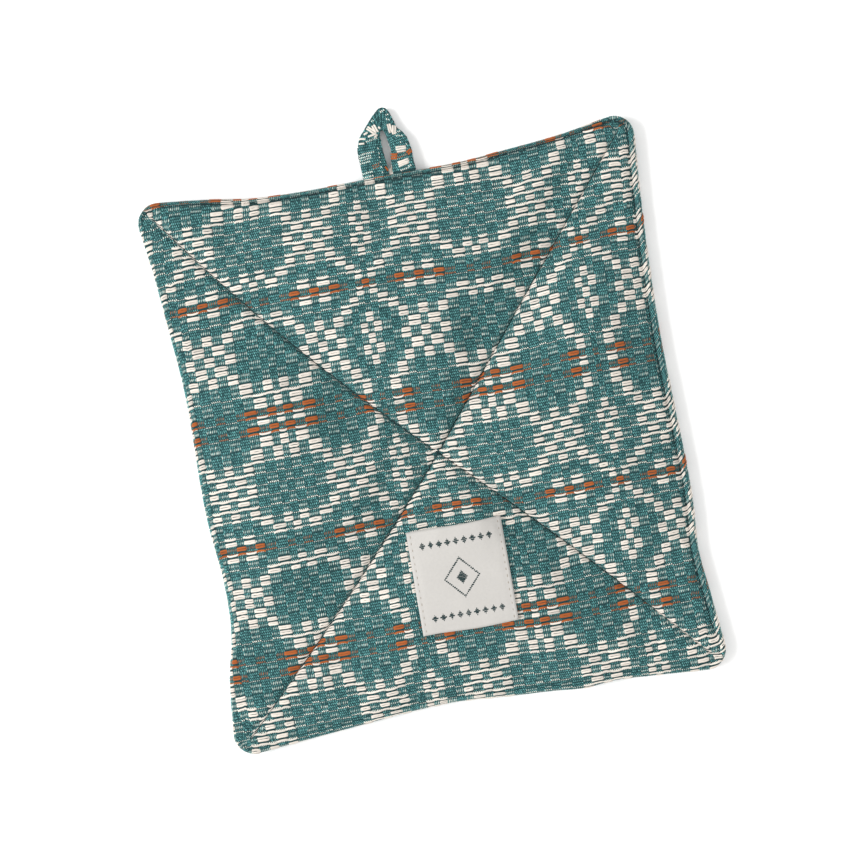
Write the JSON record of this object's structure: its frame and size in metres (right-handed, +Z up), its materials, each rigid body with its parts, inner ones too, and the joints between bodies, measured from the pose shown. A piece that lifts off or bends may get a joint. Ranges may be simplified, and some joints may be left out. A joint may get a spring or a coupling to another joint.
{
  "type": "pot holder",
  "caption": "Quilted woven cotton pot holder: a filled rectangular pad stitched from corner to corner, with a flat hanging loop at its top edge and a plain woven label on its face.",
  "frame": {"origin": "under the middle of the whole, loop included, on the surface it lies on", "axes": "+Z up out of the face, +Y towards the hanging loop, +X to the right seen from the face"},
  "size_m": [0.2044, 0.2476, 0.0137],
  "materials": {
    "cover_cloth": "teal cotton with cream and rust overshot floats",
    "loop_cloth": "the same cotton, folded into a tape",
    "label_cloth": "cream woven label tape"
  },
  "bodies": {
    "root": {"quilted_pad": "cover_cloth", "hanging_loop": "loop_cloth", "woven_label": "label_cloth"}
  },
  "joints": []
}
